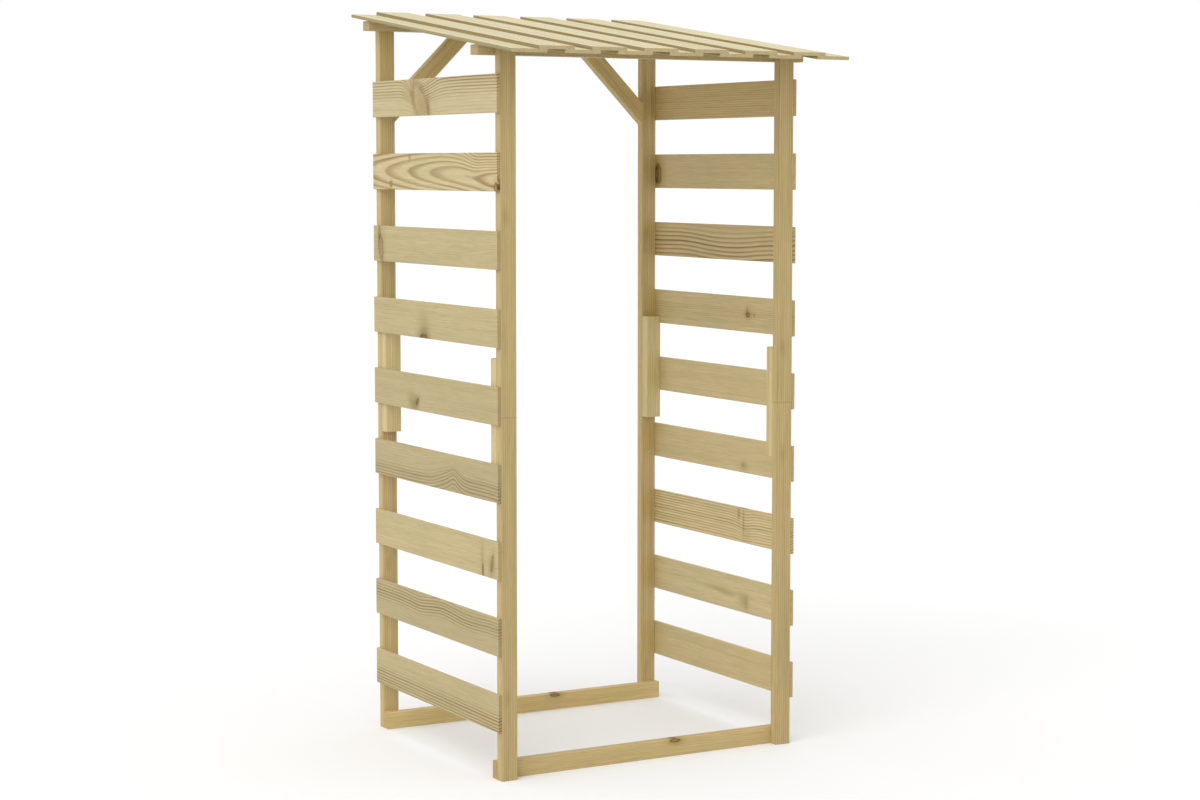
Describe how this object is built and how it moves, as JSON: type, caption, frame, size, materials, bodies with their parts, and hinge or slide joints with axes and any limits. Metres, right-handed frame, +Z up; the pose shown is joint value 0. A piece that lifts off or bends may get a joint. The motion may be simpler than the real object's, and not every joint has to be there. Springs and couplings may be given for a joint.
{
  "type": "open slatted firewood store",
  "caption": "Tall open firewood store of slim square-edged posts with slatted sides, open front and back, and a single-pitch roof of boards laid in two overlapping layers.",
  "frame": {"origin": "on the ground, under the centre of the overall box, whose front and back are the roof's edges", "axes": "+X to the right as seen from the front, +Y from the low front to the high back, +Z up"},
  "size_m": [1, 0.9544, 2],
  "materials": {
    "posts": "planed, pressure-treated pine",
    "splice_blocks": "planed, pressure-treated pine",
    "rails": "planed, pressure-treated pine",
    "beams": "planed, pressure-treated pine",
    "braces": "planed, pressure-treated pine",
    "side_boards": "planed, pressure-treated pine",
    "under_slats": "planed, pressure-treated pine",
    "cover_slats": "planed, pressure-treated pine"
  },
  "bodies": {
    "root": {"front_left_post_lower": "posts", "front_left_post_upper": "posts", "front_right_post_lower": "posts", "front_right_post_upper": "posts", "rear_left_post_lower": "posts", "rear_left_post_upper": "posts", "rear_right_post_lower": "posts", "rear_right_post_upper": "posts", "splice_blocks": "splice_blocks", "front_rail": "rails", "rear_rail": "rails", "front_beam": "beams", "rear_beam": "beams", "corner_braces": "braces", "left_board_1": "side_boards", "left_board_2": "side_boards", "left_board_3": "side_boards", "left_board_4": "side_boards", "left_board_5": "side_boards", "left_board_6": "side_boards", "left_board_7": "side_boards", "left_board_8": "side_boards", "left_board_9": "side_boards", "right_board_1": "side_boards", "right_board_2": "side_boards", "right_board_3": "side_boards", "right_board_4": "side_boards", "right_board_5": "side_boards", "right_board_6": "side_boards", "right_board_7": "side_boards", "right_board_8": "side_boards", "right_board_9": "side_boards", "under_slat_1": "under_slats", "under_slat_2": "under_slats", "under_slat_3": "under_slats", "under_slat_4": "under_slats", "under_slat_5": "under_slats", "under_slat_6": "under_slats", "under_slat_7": "under_slats", "cover_slat_1": "cover_slats", "cover_slat_2": "cover_slats", "cover_slat_3": "cover_slats", "cover_slat_4": "cover_slats", "cover_slat_5": "cover_slats", "cover_slat_6": "cover_slats"}
  },
  "joints": []
}
